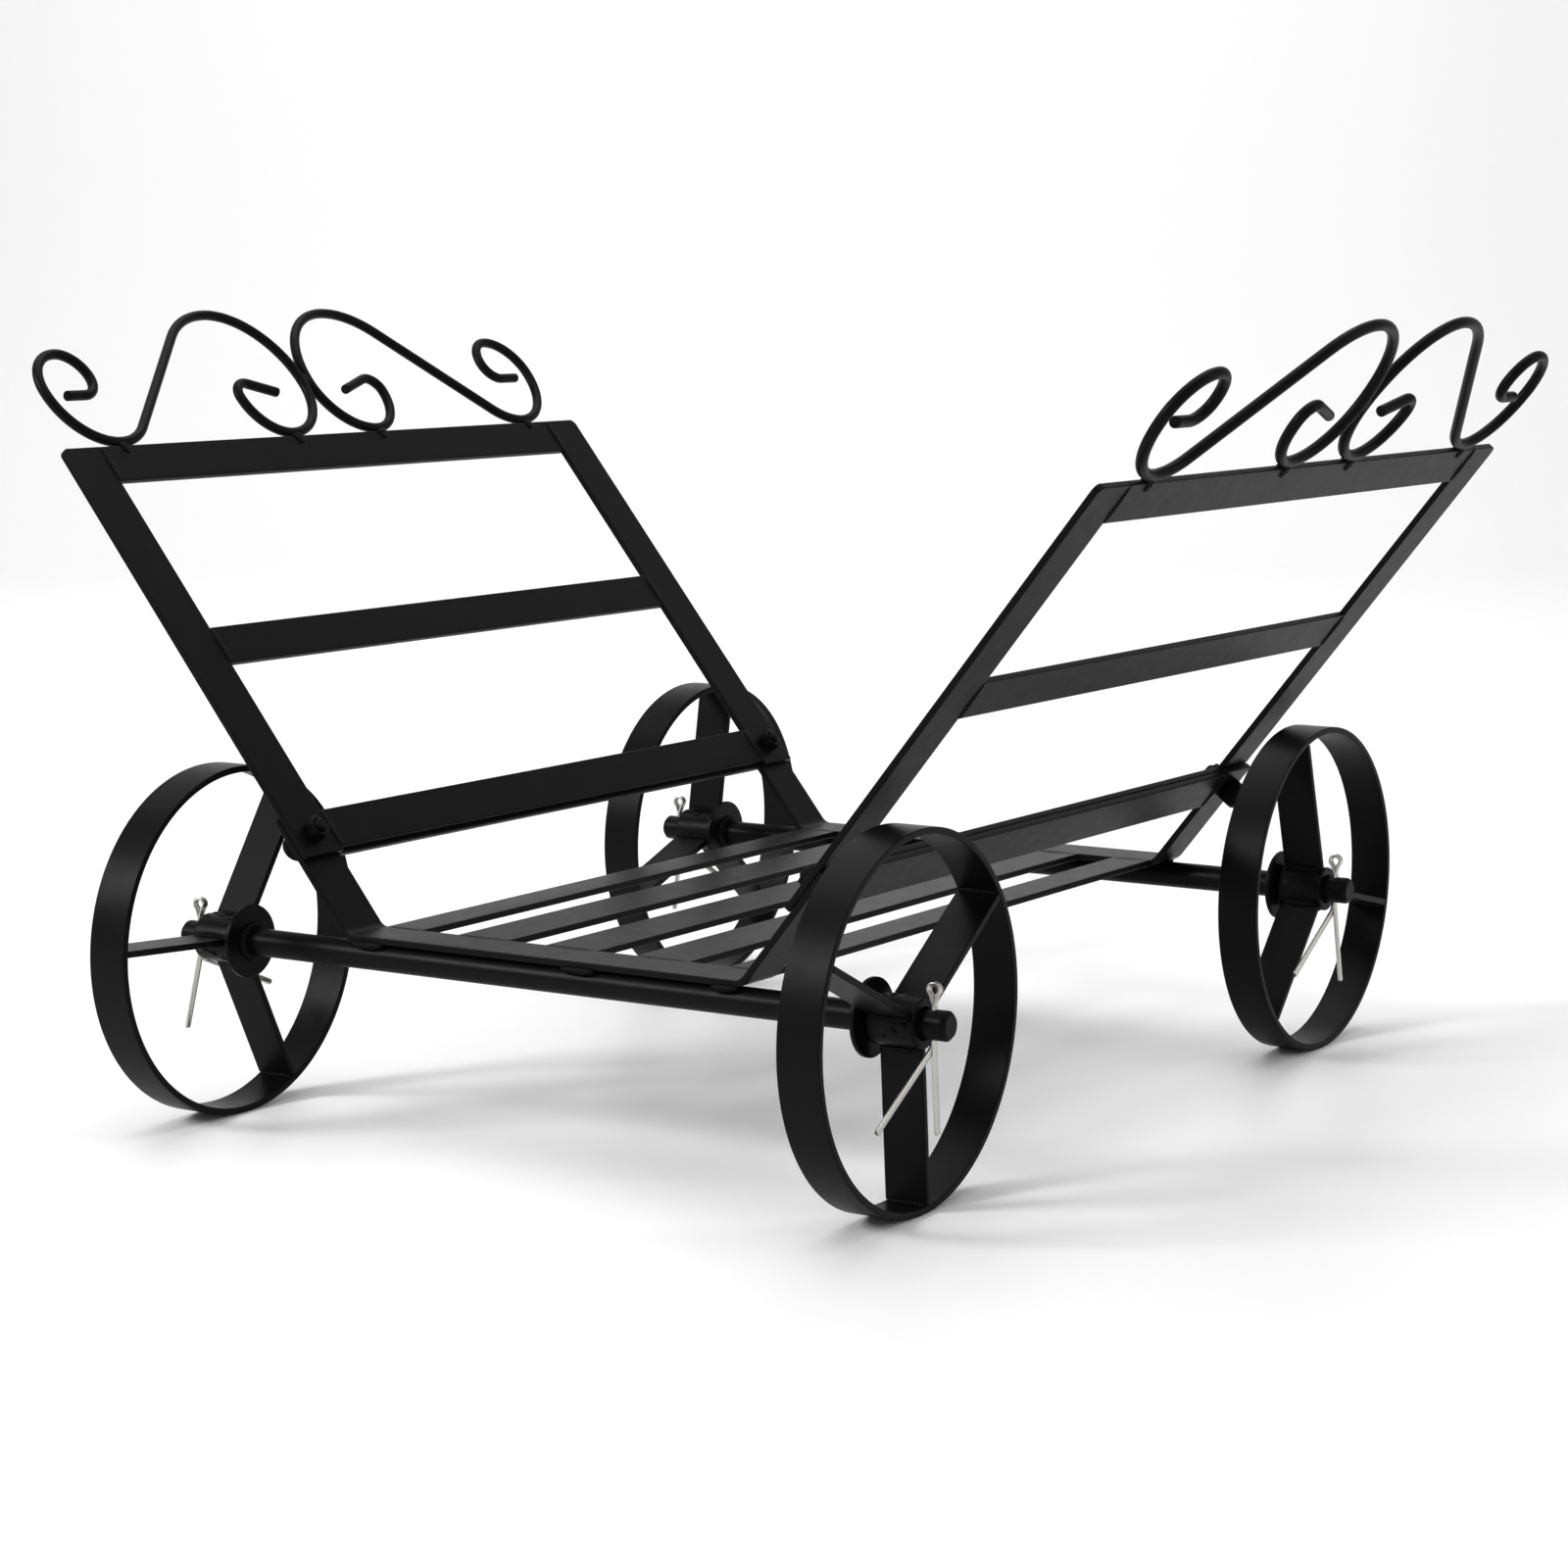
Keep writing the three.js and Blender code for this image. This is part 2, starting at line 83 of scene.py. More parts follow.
# The scroll's centre line from its outer curl's tip to its inner curl's tip: a straight is (length, 0) and
# a bend is (radius, degrees), positive turning up and outward.
SCROLL_CLIMB = 41.9
SCROLL_BENDS = [
    (12.6, 0), (10, 90), (14.3, 90), (21.4, 90), (30.7, 90 + SCROLL_CLIMB), (79.5, 0),
    (50.4, -SCROLL_CLIMB), (43.2, -90), (30.7, -90), (23, -90), (8.2, -107.8), (19.6, 0),
]


# ---------------------------------------------------------------- settings

def linear(colour):
    """An sRGB hex string such as "#1b1b1c" as linear RGBA: c/12.92 below 0.04045, else
    ((c+0.055)/1.055)^2.4."""
    values = np.array([int(colour[k:k + 2], 16) for k in (1, 3, 5)]) / 255
    low = values / 12.92
    high = ((values + 0.055) / 1.055) ** 2.4
    return (*np.where(values <= 0.04045, low, high).tolist(), 1.0)


class LOGRACK_PG_sizes(bpy.types.PropertyGroup):
    """Fine sizes that the solids don't carry."""
    edge: FloatProperty(name="Bar Edge", description="Radius of a flat bar's long edges",
                        default=0.45 * MM, min=0.1 * MM, max=1.2 * MM, unit="LENGTH")
    rod: FloatProperty(name="Scroll Rod", description="Diameter of the scrollwork's round rod",
                       default=5 * MM, min=3 * MM, max=8 * MM, unit="LENGTH")
    bead: FloatProperty(name="Weld Bead", description="Leg length of a fillet weld",
                        default=2.6 * MM, min=1 * MM, max=5 * MM, unit="LENGTH")
    ripple: FloatProperty(name="Weld Ripple", description="Distance between two ripples of a weld bead",
                          default=1.5 * MM, min=0.5 * MM, max=4 * MM, unit="LENGTH")
    rim_segments: IntProperty(name="Rim Segments", description="Segments round a wheel rim",
                              default=192, min=64, max=512)


class LOGRACK_PG_looks(bpy.types.PropertyGroup):
    """Colours and lighting."""
    coat: FloatVectorProperty(name="Powder Coat", description="Colour of the black coat", subtype="COLOR",
                              size=3, min=0, max=1, default=linear("#0b0b0c")[:3])
    zinc: FloatVectorProperty(name="Zinc", description="Colour of the plated split pins", subtype="COLOR",
                              size=3, min=0, max=1, default=linear("#c6c4bf")[:3])
    floor: FloatVectorProperty(name="Floor", description="Colour of the floor", subtype="COLOR",
                               size=3, min=0, max=1, default=linear("#f4f4f4")[:3])
    key_power: FloatProperty(name="Key Light", description="Power of the large overhead light",
                             default=36, min=0, max=500, unit="POWER")


# ---------------------------------------------------------------- materials

def add_node(tree, kind, settings=None, **links):
    """Adds a shader node. Settings whose names are sockets set the socket; links join an output to a named
    socket."""
    node = tree.nodes.new(kind)
    for name, value in (settings or {}).items():
        if name in node.inputs:
            node.inputs[name].default_value = value
        else:
            setattr(node, name, value)
    for name, output in links.items():
        tree.links.new(output, node.inputs[name.replace("_", " ")])
    return node


def new_material(name):
    material = bpy.data.materials.new(name)
    material.use_nodes = True
    tree = material.node_tree
    tree.nodes.clear()
    output = tree.nodes.new("ShaderNodeOutputMaterial")
    shader = tree.nodes.new("ShaderNodeBsdfPrincipled")
    tree.links.new(shader.outputs["BSDF"], output.inputs["Surface"])
    place = tree.nodes.new("ShaderNodeTexCoord").outputs["Object"]
    return material, tree, shader, place


def noise(tree, place, size, detail=3.0, roughness=0.55):
    """Noise whose features are about size metres across."""
    settings = {"Scale": 1 / size, "Detail": detail, "Roughness": roughness}
    return add_node(tree, "ShaderNodeTexNoise", settings, Vector=place).outputs["Fac"]


def ramp(tree, value, low, high, out_low, out_high):
    settings = {"From Min": low, "From Max": high, "To Min": out_low, "To Max": out_high}
    return add_node(tree, "ShaderNodeMapRange", settings, Value=value).outputs["Result"]


def powder_coat(name, colour, grain, relief):
    """Satin black polyester powder coat on steel: near-black, with a faint broad sheen on faces turned to
    the light and a fine grain that breaks it up. Its specular level is set well below a real coat's, so
    that the white surroundings don't turn it grey."""
    material, tree, shader, place = new_material(name)
    shader.inputs["IOR"].default_value = 1.5
    shader.inputs["Specular IOR Level"].default_value = 0.06
    patches = noise(tree, place, 35 * MM, 4.0)
    grains = noise(tree, place, grain, 2.0, 0.6)
    dust = noise(tree, place, 9 * MM, 5.0, 0.7)
    tone = ramp(tree, patches, 0.3, 0.7, 0.85, 1.2)
    scaled = add_node(tree, "ShaderNodeVectorMath", {"operation": "SCALE"}, Scale=tone)
    scaled.inputs[0].default_value = colour
    tree.links.new(scaled.outputs["Vector"], shader.inputs["Base Color"])
    tree.links.new(ramp(tree, dust, 0.3, 0.75, 0.34, 0.42), shader.inputs["Roughness"])
    bump = add_node(tree, "ShaderNodeBump", {"Strength": 0.5, "Distance": relief}, Height=grains)
    peel = noise(tree, place, 2.6 * MM, 1.0)
    soft = add_node(tree, "ShaderNodeBump", {"Strength": 0.25, "Distance": 0.03 * MM}, Height=peel,
                    Normal=bump.outputs["Normal"])
    tree.links.new(soft.outputs["Normal"], shader.inputs["Normal"])
    return material


def zinc_plate(colour):
    """Bright zinc plate on soft steel wire: a cool grey metal whose sharp highlights are dulled in
    patches."""
    material, tree, shader, place = new_material("bright zinc plate")
    shader.inputs["Metallic"].default_value = 1.0
    shader.inputs["Base Color"].default_value = (*colour, 1.0)
    blotches = noise(tree, place, 1.8 * MM, 4.0, 0.65)
    tree.links.new(ramp(tree, blotches, 0.3, 0.7, 0.22, 0.42), shader.inputs["Roughness"])
    marks = noise(tree, place, 0.35 * MM, 2.0)
    bump = add_node(tree, "ShaderNodeBump", {"Strength": 0.35, "Distance": 0.03 * MM}, Height=marks)
    tree.links.new(bump.outputs["Normal"], shader.inputs["Normal"])
    return material


def floor_paint(colour):
    """Matt white studio floor: takes soft shadows and hardly shines."""
    material, tree, shader, place = new_material("matt white floor")
    shader.inputs["Base Color"].default_value = (*colour, 1.0)
    speckle = noise(tree, place, 30 * MM, 3.0)
    tree.links.new(ramp(tree, speckle, 0.3, 0.7, 0.42, 0.5), shader.inputs["Roughness"])
    return material


def finish_named(name):
    """The material of that name, made on first use."""
    looks = bpy.context.scene.lograck_looks
    if name in bpy.data.materials:
        return bpy.data.materials[name]
    coat = tuple(looks.coat)
    makers = {
        "satin black powder coat": lambda: powder_coat(name, coat, 0.42 * MM, 0.018 * MM),
        "powder coated weld metal": lambda: powder_coat(name, coat, 0.30 * MM, 0.08 * MM),
        "bright zinc plate": lambda: zinc_plate(tuple(looks.zinc)),
        "matt white floor": lambda: floor_paint(tuple(looks.floor)),
    }
    return makers[name]()


# ---------------------------------------------------------------- surfaces

class Shells:
    """Closed surfaces collected into one mesh."""

    def __init__(self):
        self.points = []
        self.faces = []
        self.smooth = []
        self.count = 0

    def add(self, grid, around=True, caps=True):
        """A grid of points P[i, j]: rows i along the surface, columns j round it. Quad (i, j) joins P[i, j],
        P[i, j+1], P[i+1, j+1] and P[i+1, j]. around closes the rows into a ring as well (a torus) when it is
        "both"; caps close the first and the last row with flat polygons."""
        rows, columns, _ = grid.shape
        ids = self.count + np.arange(rows * columns).reshape(rows, columns)
        right = np.roll(ids, -1, axis=1)
        if around == "both":
            up, up_right = np.roll(ids, -1, axis=0), np.roll(right, -1, axis=0)
            quads = np.stack([ids, right, up_right, up], axis=-1).reshape(-1, 4)
            caps = False
        else:
            quads = np.stack([ids[:-1], right[:-1], right[1:], ids[1:]], axis=-1).reshape(-1, 4)
        faces = quads.tolist()
        smooth = [True] * len(faces)
        if caps:
            faces += [ids[0][::-1].tolist(), ids[-1].tolist()]
            smooth += [False, False]
        if signed_volume(self.local(grid, faces)) < 0:
            faces = [face[::-1] for face in faces]
        self.points.append(grid.reshape(-1, 3))
        self.faces += faces
        self.smooth += smooth
        self.count += rows * columns

    def local(self, grid, faces):
        points = grid.reshape(-1, 3)
        return points, [np.array(face) - self.count for face in faces]

    def build(self, name, material, body, stands_for=()):
        """Makes the object, gives it its finish and fixes it to its body."""
        mesh = bpy.data.meshes.new(name)
        mesh.from_pydata(np.concatenate(self.points), [], self.faces)
        mesh.polygons.foreach_set("use_smooth", self.smooth)
        mesh.update()
        item = bpy.data.objects.new(name, mesh)
        bpy.context.scene.collection.objects.link(item)
        item.data.materials.append(finish_named(material))
        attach(item, body)
        if stands_for:
            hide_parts(*stands_for)
        return item


def signed_volume(shell):
    """Volume enclosed by polygons: the sum over a fan of triangles of a . (b x c) / 6."""
    points, faces = shell
    quads = np.array([face for face in faces if len(face) == 4]).reshape(-1, 4)
    total = 0.0
    for a, b, c in ((0, 1, 2), (0, 2, 3)):
        total += np.einsum("ij,ij->", points[quads[:, a]], np.cross(points[quads[:, b]], points[quads[:, c]]))
    for face in faces:
        if len(face) != 4:
            fan = points[np.array(face)]
            total += np.sum(np.cross(fan[1:-1], fan[2:]) @ fan[0])
    return total / 6


def unit(vector):
    return vector / np.linalg.norm(vector, axis=-1, keepdims=True)


def tangents(path):
    """Unit directions at the points of a path: the sum of the unit steps before and after each point."""
    steps = unit(np.diff(path, axis=0))
    before = np.concatenate([steps[:1], steps])
    after = np.concatenate([steps, steps[-1:]])
    return unit(before + after)


def miter(path):
    """How much a section is widened at each point so that it keeps its size on both sides of a corner: the
    reciprocal of the cosine of half the turn."""
    steps = unit(np.diff(path, axis=0))
    before = np.concatenate([steps[:1], steps])
    ahead = tangents(path)
    return 1 / np.einsum("ij,ij->i", before, ahead)


def rounded_rectangle(half_wide, half_thick, radius, arc=4, hold=0.5 * MM):
    """Points round a rectangle with corner arcs of that radius. Each flat carries two more points just
    inside its corners, so that smooth shading stays near the edge. Broadcasts over arrays of half sizes."""
    half_wide = np.atleast_1d(half_wide)[:, None]
    half_thick = np.atleast_1d(half_thick)[:, None]
    radius = np.atleast_1d(radius)[:, None]
    wide, thick = [], []
    for k, (sx, sy) in enumerate([(1, 1), (-1, 1), (-1, -1), (1, -1)]):
        angles = np.pi / 2 * (k + np.linspace(0, 1, arc + 1))[None, :]
        centre_w = sx * (half_wide - radius)
        centre_t = sy * (half_thick - radius)
        on_arc_w = centre_w + radius * np.cos(angles)
        on_arc_t = centre_t + radius * np.sin(angles)
        before_w, before_t = on_arc_w[:, :1], on_arc_t[:, :1]
        after_w, after_t = on_arc_w[:, -1:], on_arc_t[:, -1:]
        if k % 2 == 0:
            wide += [before_w, on_arc_w, after_w - sx * hold]
            thick += [before_t - sy * hold, on_arc_t, after_t]
        else:
            wide += [before_w - sx * hold, on_arc_w, after_w]
            thick += [before_t, on_arc_t, after_t - sy * hold]
    return np.concatenate(wide, axis=1), np.concatenate(thick, axis=1)


def corner_left(edge, drawn):
    """Corner radius that a section keeps where it is drawn in, never quite nothing."""
    return np.maximum(edge - drawn, edge * 0.02)


def softened_ends(length, radius, hold=0.5 * MM, steps=4):
    """Stations along a bar and how far its section is drawn in at each: over the last radius r of either
    end the drawing-in is r (1 - sin a) at r (1 - cos a) from the end, for a from 0 to a quarter turn."""
    a = np.linspace(0, np.pi / 2, steps + 1)
    stations = np.concatenate([radius * (1 - np.cos(a)), [radius + hold]])
    drawn = np.concatenate([radius * (1 - np.sin(a)), [0]])
    return np.concatenate([stations, length - stations[::-1]]), np.concatenate([drawn, drawn[::-1]])


def straight_bar(shells, start, end, across, width, edge, thickness=BAR):
    """A flat bar from start to end, width measured along the unit vector across."""
    start, end = np.asarray(start, float), np.asarray(end, float)
    length = np.linalg.norm(end - start)
    along = (end - start) / length
    face = np.cross(along, across)
    stations, drawn = softened_ends(length, edge)
    wide, thick = rounded_rectangle(width / 2 - drawn, thickness / 2 - drawn, corner_left(edge, drawn))
    centre = start + stations[:, None] * along
    shells.add(centre[:, None, :] + wide[..., None] * across + thick[..., None] * face)


def turned(shells, profile, centre, axis_sign=1, segments=96, closed=False):
    """A profile of (radius, x) pairs turned about X through centre: (x, r cos a, r sin a). closed joins the
    last pair to the first, which makes a ring."""
    profile = np.asarray(profile, float)
    angle = np.linspace(0, 2 * np.pi, segments, endpoint=False)
    x = np.broadcast_to(axis_sign * profile[:, 1][:, None], (len(profile), segments))
    y = profile[:, :1] * np.cos(angle)
    z = profile[:, :1] * np.sin(angle)
    shells.add(np.stack([x, y, z], axis=-1) + centre, around="both" if closed else True)


def ring_profile(inner, outer, width, edge, arc=5, hold=0.4 * MM):
    """A rectangle from radius inner to outer and of that width about x = 0, with rounded corners."""
    wide, radial = rounded_rectangle(width / 2, (outer - inner) / 2, edge, arc, hold)
    return np.stack([(inner + outer) / 2 + radial[0], wide[0]], axis=1)


def swept(shells, path, section, side, taper=None):
    """A section of (u, v) points swept along a path. u is measured along side, one vector per point or one
    for all, and v along tangent x side. taper scales the section at each point."""
    ahead = tangents(path)
    side = np.broadcast_to(side, path.shape)
    side = unit(side - np.einsum("ij,ij->i", side, ahead)[:, None] * ahead)
    other = np.cross(ahead, side)
    scale = np.ones(len(path)) if taper is None else taper
    u = section[:, 0][None, :, None] * scale[:, None, None]
    v = section[:, 1][None, :, None] * scale[:, None, None]
    shells.add(path[:, None, :] + u * side[:, None, :] + v * other[:, None, :])


def circle(radius, count=24):
    angle = np.linspace(0, 2 * np.pi, count, endpoint=False)
    return radius * np.stack([np.cos(angle), np.sin(angle)], axis=1)


def bend_path(bends, step=np.radians(5)):
    """Points of straights and tangent arcs in a plane, from the origin heading along +x, in metres."""
    points = [np.zeros(2)]
    heading = 0.0
    for size, degrees in bends:
        turn = np.radians(degrees)
        count = max(1, int(np.ceil(abs(turn) / step)))
        if degrees == 0:
            count = 6
        for _ in range(count):
            delta = turn / count
            chord = size * MM / count if degrees == 0 else 2 * size * MM * np.sin(abs(delta) / 2)
            direction = heading + delta / 2
            points.append(points[-1] + chord * np.array([np.cos(direction), np.sin(direction)]))
            heading += delta
    return np.array(points)


def weld_bead(shells, start, end, face_a, face_b, leg, ripple, seed=0):
    """A fillet weld laid from start to end in the corner between two faces with outward normals face_a and
    face_b. Its crown is a quarter circle pushed out by ripples: r(s, t) = leg (0.8 + 0.12 cos(2 pi s /
    ripple + p) sin 2t + w), where w is a slow wander along the bead and p a phase; it thins to nothing at
    both ends."""
    start, end = np.asarray(start, float), np.asarray(end, float)
    length = np.linalg.norm(end - start)
    rows = max(12, int(length / ripple * 6))
    s = np.linspace(0, 1, rows)
    random = np.random.default_rng(seed)
    knots = random.uniform(-0.12, 0.16, max(4, int(length / (3 * ripple))))
    wander = np.interp(s, np.linspace(0, 1, len(knots)), knots)
    phase = random.uniform(0, 2 * np.pi)
    swell = np.sin(np.pi * np.clip(s, 0.002, 0.998)) ** 0.28
    t = np.linspace(0, np.pi / 2, 9)
    ripples = 0.12 * np.cos(2 * np.pi * s * length / ripple + phase)[:, None] * np.sin(2 * t)[None, :]
    radius = leg * (0.8 + ripples + wander[:, None]) * swell[:, None]
    crown = radius[..., None] * (np.cos(t)[None, :, None] * face_a + np.sin(t)[None, :, None] * face_b)
    root = -0.25 * leg * (face_a + face_b) * swell[:, None]
    section = np.concatenate([crown, root[:, None, :]], axis=1)
    centre = start + s[:, None] * (end - start)
    shells.add(centre[:, None, :] + section)


def seam_weld(shells, start, end, face, width, height, ripple, seed=0):
    """A low bead over a butt seam, lying on a face: a half ellipse of that width and height with ripples."""
    start, end = np.asarray(start, float), np.asarray(end, float)
    length = np.linalg.norm(end - start)
    along = (end - start) / length
    across = np.cross(face, along)
    rows = max(12, int(length / ripple * 6))
    s = np.linspace(0, 1, rows)
    random = np.random.default_rng(seed)
    knots = random.uniform(-0.15, 0.15, max(4, int(length / (3 * ripple))))
    wander = np.interp(s, np.linspace(0, 1, len(knots)), knots)
    swell = np.sin(np.pi * np.clip(s, 0.002, 0.998)) ** 0.25 * (1 + wander)
    t = np.linspace(0, np.pi, 11)
    lag = 0.25 * np.sin(t)                            # ripples bow along the bead
    waves = 1 + 0.16 * np.cos(2 * np.pi * (s[:, None] * length / ripple + lag[None, :]))
    u = width / 2 * np.cos(t)[None, :] * swell[:, None]
    v = height * np.sin(t)[None, :] * swell[:, None] * waves - 0.15 * MM
    centre = start + s[:, None] * (end - start)
    shells.add(centre[:, None, :] + u[..., None] * across + v[..., None] * face)


def blob(shells, centre, radii, axes, seed=0):
    """A lump of weld metal: an ellipsoid whose radius is 1 + 0.1 sin(3a + p) sin(2b + q)."""
    random = np.random.default_rng(seed)
    p, q = random.uniform(0, 2 * np.pi, 2)
    b = np.linspace(0.02, np.pi - 0.02, 14)[:, None]
    a = np.linspace(0, 2 * np.pi, 24, endpoint=False)[None, :]
    bulge = 1 + 0.1 * np.sin(3 * a + p) * np.sin(2 * b + q)
    local = np.stack([np.sin(b) * np.cos(a), np.sin(b) * np.sin(a), np.cos(b) + 0 * a], axis=-1)
    local = local * bulge[..., None] * radii
    shells.add(local @ np.asarray(axes) + centre)


# ---------------------------------------------------------------- where things are

def box(node):
    low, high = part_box(node)
    return np.array(low), np.array(high)


class Panel:
    """One leaning side: points on it from a height up the slope, a depth outward and a place along Y, all
    measured from the inner foot corner of its posts."""

    def __init__(self, side):
        self.side = side
        self.sign = SIDES[side]
        low, high = box(f"post_front_{side}")
        inner_x = low[0] if self.sign > 0 else high[0]
        self.foot = np.array([inner_x, 0, high[2] - POST_LENGTH * np.cos(LEAN)])
        self.up = np.array([self.sign * np.sin(LEAN), 0, np.cos(LEAN)])
        self.out = np.array([self.sign * np.cos(LEAN), 0, -np.sin(LEAN)])

    def at(self, y, height, depth):
        return self.foot + height * self.up + depth * self.out + y * Y


def sizes():
    return bpy.context.scene.lograck_sizes


# ---------------------------------------------------------------- operators

class LOGRACK_OT_wheels(bpy.types.Operator):
    """Four wheels of rolled flat bar with flat spokes welded between rim and hub"""
    bl_idname = "lograck.wheels"
    bl_label = "Wheels"

    def execute(self, context):
        edge, bead, ripple = sizes().edge, sizes().bead, sizes().ripple
        for number, (corner, _, sign) in enumerate(CORNERS):
            body = f"wheel_{corner}"
            low, high = box(f"rim_{corner}")
            centre, radius, width = (low + high) / 2, (high[2] - low[2]) / 2, high[0] - low[0]
            rim = Shells()
            turned(rim, ring_profile(radius - BAR, radius, width, edge), centre,
                   segments=sizes().rim_segments, closed=True)
            rim.build(f"rim.{corner}", "satin black powder coat", body, [f"rim_{corner}"])

            low, high = box(f"hub_{corner}")
            hub_radius, hub_length = (high[2] - low[2]) / 2, high[0] - low[0]
            bore = middle_bore(corner)
            hub = Shells()
            turned(hub, ring_profile(bore, hub_radius, hub_length, 0.6 * MM), centre, closed=True)
            hub.build(f"hub.{corner}", "satin black powder coat", body, [f"hub_{corner}"])

            spokes, welds = Shells(), Shells()
            for k in range(SPOKES):
                angle = np.radians(FIRST_SPOKE[corner] + 360 * k / SPOKES)
                ray = np.array([0, np.cos(angle), np.sin(angle)])
                flat = np.array([0, -np.sin(angle), np.cos(angle)])
                straight_bar(spokes, centre + (hub_radius - 0.2 * MM) * ray,
                             centre + (radius - BAR - WELD_GAP) * ray, X, width, edge)
                for j, face in enumerate((flat, -flat)):
                    seed = 100 * number + 10 * k + j
                    half = np.array([width / 2 - 0.8 * MM, 0, 0])
                    foot = centre + (hub_radius - 0.1 * MM) * ray + face * BAR / 2
                    weld_bead(welds, foot - half, foot + half, ray, face, bead, ripple, seed)
                    head = centre + (radius - BAR - 0.1 * MM) * ray + face * BAR / 2
                    weld_bead(welds, head - half, head + half, -ray, face, bead * 0.7, ripple, seed + 5)
                for j in range(HUB_LUMPS):
                    turn = angle + np.radians(24 + 15 * j)
                    ray = np.array([0, np.cos(turn), np.sin(turn)])
                    at = centre + hub_radius * ray + (sign * (6 - 5 * j) * MM) * X
                    blob(welds, at, HUB_LUMP * (1 - 0.2 * j), [X, np.cross(X, ray), ray],
                         seed=40 + 3 * k + j + 9 * number)
            spokes.build(f"spokes.{corner}", "satin black powder coat", body,
                         [f"spoke_{corner}_{k + 1}" for k in range(SPOKES)])
            welds.build(f"wheel_welds.{corner}", "powder coated weld metal", body)
        return {"FINISHED"}


def middle_bore(corner):
    """Radius of a hub's bore: the axle's radius and its running clearance."""
    low, high = box("axle_" + corner.split("_")[0])
    return (high[2] - low[2]) / 2 + 0.5 * MM


class LOGRACK_OT_axles(bpy.types.Operator):
    """Two round axles with chamfered ends, each with two welded stop washers"""
    bl_idname = "lograck.axles"
    bl_label = "Axles and Stop Washers"

    def execute(self, context):
        for end in ENDS:
            low, high = box(f"axle_{end}")
            centre, radius, half = (low + high) / 2, (high[2] - low[2]) / 2, (high[0] - low[0]) / 2
            chamfer = 1.5 * MM
            soft = 0.15 * MM
            one_end = [(radius - chamfer - soft, half), (radius - chamfer + soft * 0.7, half - soft * 0.8),
                       (radius - soft * 0.7, half - chamfer + soft * 0.5),
                       (radius, half - chamfer - 0.3 * MM),
                       (radius, half - chamfer - 1.2 * MM)]
            profile = one_end + [(r, -x) for r, x in reversed(one_end)]
            axle = Shells()
            turned(axle, profile, centre, segments=72)
            axle.build(f"axle.{end}", "satin black powder coat", "chassis", [f"axle_{end}"])
            for side, sign in SIDES.items():
                low, high = box(f"washer_{end}_{side}")
                middle_x, outer, thick = (low[0] + high[0]) / 2, (high[2] - low[2]) / 2, high[0] - low[0]
                at = np.array([middle_x, centre[1], centre[2]])
                washer = Shells()
                turned(washer, ring_profile(radius + 0.05 * MM, outer, thick, 0.3 * MM), at, closed=True)
                washer.build(f"stop_washer.{end}_{side}", "satin black powder coat", "chassis",
                             [f"washer_{end}_{side}"])
                self.weld_round(f"washer_weld.{end}_{side}", at - sign * thick / 2 * X, radius, sign)
        return {"FINISHED"}

    def weld_round(self, name, at, radius, sign):
        """A fillet round the axle on the washer's inboard face: its leg is L (1 + 0.1 cos 26a + 0.12 sin(3a
        + side)) as it goes round through a."""
        weld = Shells()
        around = np.linspace(0, 2 * np.pi, 120, endpoint=False)
        t = np.linspace(0, np.pi / 2, 8)
        leg = WASHER_WELD_LEG * (1 + 0.1 * np.cos(26 * around) + 0.12 * np.sin(3 * around + sign))[:, None]
        radial = radius - 0.2 * MM + leg * np.sin(t)[None, :]
        along = -sign * leg * np.cos(t)[None, :]
        corner_r = np.full((len(around), 1), radius - 0.5 * MM)
        radial = np.concatenate([radial, corner_r], axis=1)
        along = np.concatenate([along, np.zeros((len(around), 1)) + sign * 0.2 * MM], axis=1)
        y = radial * np.cos(around)[:, None]
        z = radial * np.sin(around)[:, None]
        weld.add(np.stack([along, y, z], axis=-1) + at, around="both")
        weld.build(name, "powder coated weld metal", "chassis")


